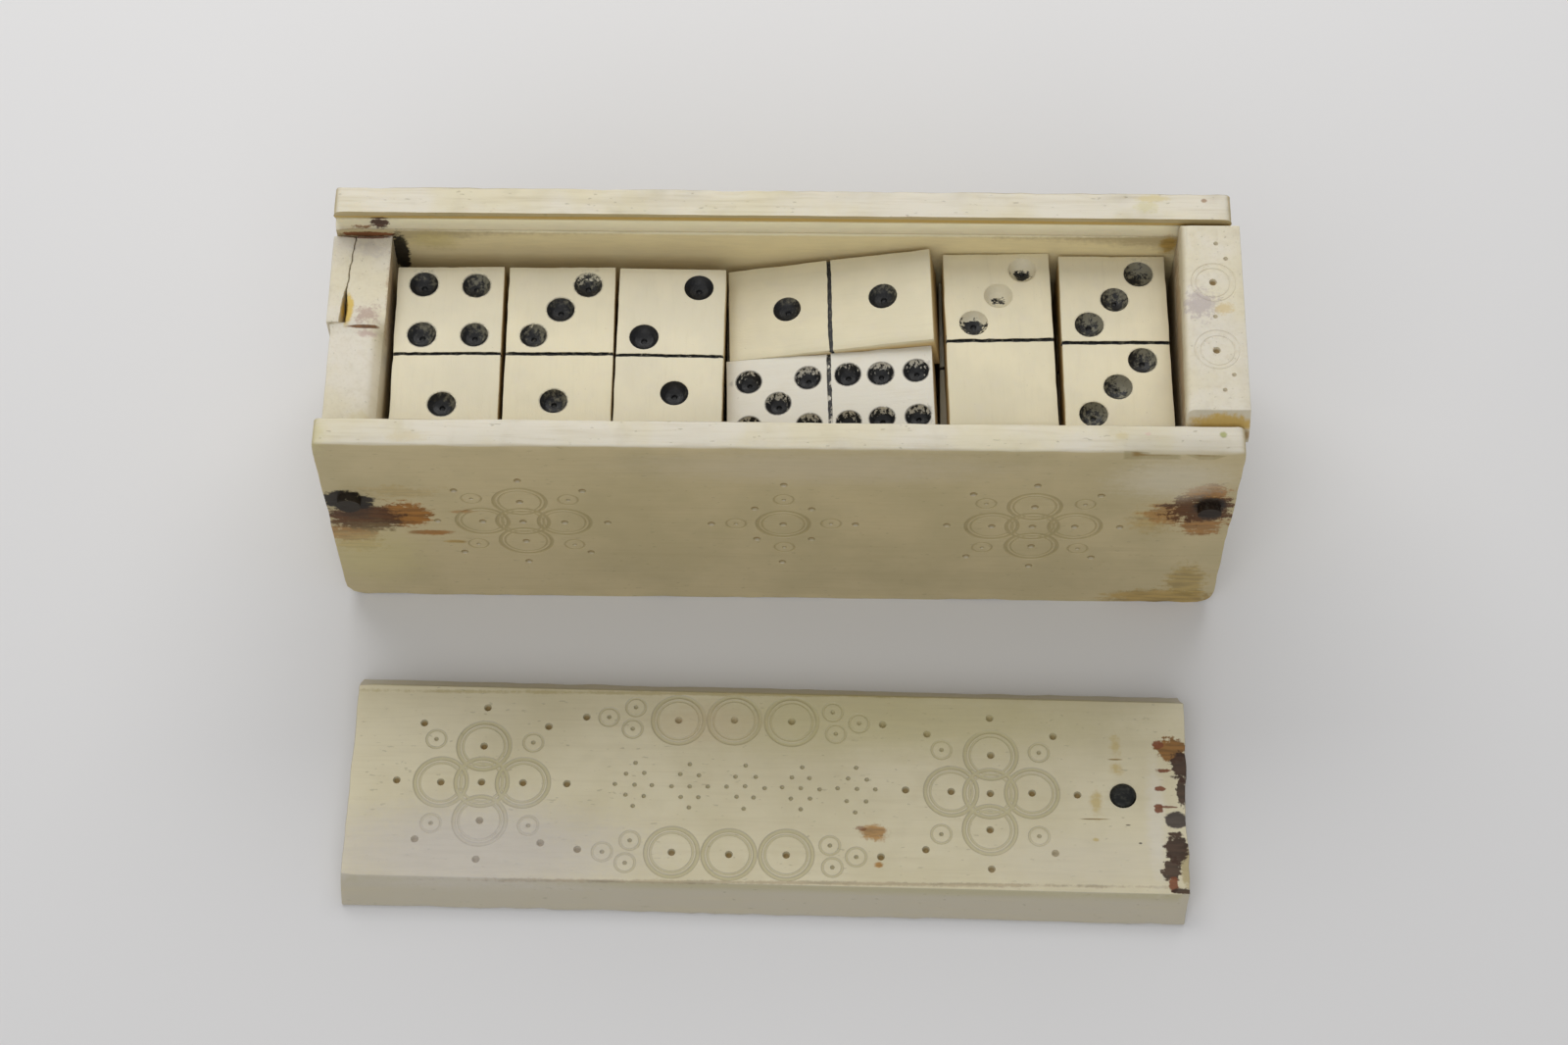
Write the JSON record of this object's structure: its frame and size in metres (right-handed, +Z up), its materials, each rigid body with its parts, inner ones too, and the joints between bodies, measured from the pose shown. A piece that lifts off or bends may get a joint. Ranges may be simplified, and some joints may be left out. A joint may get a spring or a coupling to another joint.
{
  "type": "boxed domino set",
  "caption": "Hand-made bone box with its sliding lid off and laid in front, holding a double-six set of small bone domino tiles in stacks.",
  "frame": {"origin": "the centre of the box's underside, on the surface that the box and the loose lid lie on", "axes": "+X along the box's length, towards the high end block; +Z up; -Y towards the loose lid"},
  "size_m": [0.1029, 0.0749, 0.036],
  "materials": {
    "board_bone": "aged bone, satin, with fine grain along the board",
    "block_bone": "aged bone, satin, paler on worn edges",
    "lid_bone": "aged bone, satin, with engraved rings and dots",
    "tile_bone": "cream bone, satin, with ink in the pips and the dividing line",
    "worn_tile_bone": "whiter bone, satin, with worn ink",
    "black_peg": "black stained horn or wood, satin",
    "rusty_iron": "rusted iron nail head"
  },
  "bodies": {
    "box": {"floor_board": "board_bone", "front_wall": "board_bone", "back_wall": "board_bone", "left_end_block": "block_bone", "left_block_splinter": "block_bone", "right_end_block": "block_bone", "front_left_nail": "rusty_iron", "front_right_nail": "rusty_iron", "back_left_nail": "rusty_iron", "back_right_nail": "rusty_iron", "floor_front_left_nail": "rusty_iron", "floor_front_right_nail": "rusty_iron", "floor_back_left_nail": "rusty_iron", "floor_back_right_nail": "rusty_iron"},
    "lid": {"lid": "lid_bone", "lid_peg": "black_peg"},
    "tile_0_0": {"tile_0_0": "tile_bone"},
    "tile_1_6": {"tile_1_6": "tile_bone"},
    "tile_3_5": {"tile_3_5": "tile_bone"},
    "tile_4_1": {"tile_4_1": "tile_bone"},
    "tile_0_1": {"tile_0_1": "tile_bone"},
    "tile_2_2": {"tile_2_2": "tile_bone"},
    "tile_3_6": {"tile_3_6": "tile_bone"},
    "tile_3_1": {"tile_3_1": "tile_bone"},
    "tile_0_2": {"tile_0_2": "tile_bone"},
    "tile_2_3": {"tile_2_3": "tile_bone"},
    "tile_4_4": {"tile_4_4": "tile_bone"},
    "tile_2_1": {"tile_2_1": "tile_bone"},
    "tile_0_4": {"tile_0_4": "tile_bone"},
    "tile_2_4": {"tile_2_4": "tile_bone"},
    "tile_4_5": {"tile_4_5": "tile_bone"},
    "tile_1_1": {"tile_1_1": "tile_bone"},
    "tile_0_5": {"tile_0_5": "tile_bone"},
    "tile_2_5": {"tile_2_5": "tile_bone"},
    "tile_4_6": {"tile_4_6": "tile_bone"},
    "tile_5_6": {"tile_5_6": "worn_tile_bone"},
    "tile_0_6": {"tile_0_6": "tile_bone"},
    "tile_2_6": {"tile_2_6": "tile_bone"},
    "tile_5_5": {"tile_5_5": "tile_bone"},
    "tile_3_0": {"tile_3_0": "tile_bone"},
    "tile_1_5": {"tile_1_5": "tile_bone"},
    "tile_3_4": {"tile_3_4": "tile_bone"},
    "tile_6_6": {"tile_6_6": "tile_bone"},
    "tile_3_3": {"tile_3_3": "tile_bone"}
  },
  "joints": [
    {"name": "lid_lift", "type": "slide", "parent": "box", "child": "lid", "axis": [0, 0, 1], "range_m": [0, 0.045]},
    {"name": "tile_0_0_lift", "type": "slide", "parent": "box", "child": "tile_0_0", "axis": [0, 0, 1], "range_m": [0, 0.035]},
    {"name": "tile_1_6_lift", "type": "slide", "parent": "tile_0_0", "child": "tile_1_6", "axis": [0, 0, 1], "range_m": [0, 0.03]},
    {"name": "tile_3_5_lift", "type": "slide", "parent": "tile_1_6", "child": "tile_3_5", "axis": [0, 0, 1], "range_m": [0, 0.024]},
    {"name": "tile_4_1_lift", "type": "slide", "parent": "tile_3_5", "child": "tile_4_1", "axis": [0, 0, 1], "range_m": [0, 0.019]},
    {"name": "tile_0_1_lift", "type": "slide", "parent": "box", "child": "tile_0_1", "axis": [0, 0, 1], "range_m": [0, 0.035]},
    {"name": "tile_2_2_lift", "type": "slide", "parent": "tile_0_1", "child": "tile_2_2", "axis": [0, 0, 1], "range_m": [0, 0.03]},
    {"name": "tile_3_6_lift", "type": "slide", "parent": "tile_2_2", "child": "tile_3_6", "axis": [0, 0, 1], "range_m": [0, 0.024]},
    {"name": "tile_3_1_lift", "type": "slide", "parent": "tile_3_6", "child": "tile_3_1", "axis": [0, 0, 1], "range_m": [0, 0.019]},
    {"name": "tile_0_2_lift", "type": "slide", "parent": "box", "child": "tile_0_2", "axis": [0, 0, 1], "range_m": [0, 0.035]},
    {"name": "tile_2_3_lift", "type": "slide", "parent": "tile_0_2", "child": "tile_2_3", "axis": [0, 0, 1], "range_m": [0, 0.03]},
    {"name": "tile_4_4_lift", "type": "slide", "parent": "tile_2_3", "child": "tile_4_4", "axis": [0, 0, 1], "range_m": [0, 0.024]},
    {"name": "tile_2_1_lift", "type": "slide", "parent": "tile_4_4", "child": "tile_2_1", "axis": [0, 0, 1], "range_m": [0, 0.019]},
    {"name": "tile_0_4_lift", "type": "slide", "parent": "box", "child": "tile_0_4", "axis": [0, 0, 1], "range_m": [0, 0.035]},
    {"name": "tile_2_4_lift", "type": "slide", "parent": "tile_0_4", "child": "tile_2_4", "axis": [0, 0, 1], "range_m": [0, 0.03]},
    {"name": "tile_4_5_lift", "type": "slide", "parent": "tile_2_4", "child": "tile_4_5", "axis": [0, 0, 1], "range_m": [0, 0.024]},
    {"name": "tile_1_1_lift", "type": "slide", "parent": "tile_4_5", "child": "tile_1_1", "axis": [0, 0, 1], "range_m": [0, 0.019]},
    {"name": "tile_0_5_lift", "type": "slide", "parent": "box", "child": "tile_0_5", "axis": [0, 0, 1], "range_m": [0, 0.035]},
    {"name": "tile_2_5_lift", "type": "slide", "parent": "tile_0_5", "child": "tile_2_5", "axis": [0, 0, 1], "range_m": [0, 0.03]},
    {"name": "tile_4_6_lift", "type": "slide", "parent": "tile_2_5", "child": "tile_4_6", "axis": [0, 0, 1], "range_m": [0, 0.024]},
    {"name": "tile_5_6_lift", "type": "slide", "parent": "tile_4_6", "child": "tile_5_6", "axis": [0, 0, 1], "range_m": [0, 0.019]},
    {"name": "tile_0_6_lift", "type": "slide", "parent": "box", "child": "tile_0_6", "axis": [0, 0, 1], "range_m": [0, 0.035]},
    {"name": "tile_2_6_lift", "type": "slide", "parent": "tile_0_6", "child": "tile_2_6", "axis": [0, 0, 1], "range_m": [0, 0.03]},
    {"name": "tile_5_5_lift", "type": "slide", "parent": "tile_2_6", "child": "tile_5_5", "axis": [0, 0, 1], "range_m": [0, 0.024]},
    {"name": "tile_3_0_lift", "type": "slide", "parent": "tile_5_5", "child": "tile_3_0", "axis": [0, 0, 1], "range_m": [0, 0.019]},
    {"name": "tile_1_5_lift", "type": "slide", "parent": "box", "child": "tile_1_5", "axis": [0, 0, 1], "range_m": [0, 0.035]},
    {"name": "tile_3_4_lift", "type": "slide", "parent": "tile_1_5", "child": "tile_3_4", "axis": [0, 0, 1], "range_m": [0, 0.03]},
    {"name": "tile_6_6_lift", "type": "slide", "parent": "tile_3_4", "child": "tile_6_6", "axis": [0, 0, 1], "range_m": [0, 0.024]},
    {"name": "tile_3_3_lift", "type": "slide", "parent": "tile_6_6", "child": "tile_3_3", "axis": [0, 0, 1], "range_m": [0, 0.019]}
  ]
}
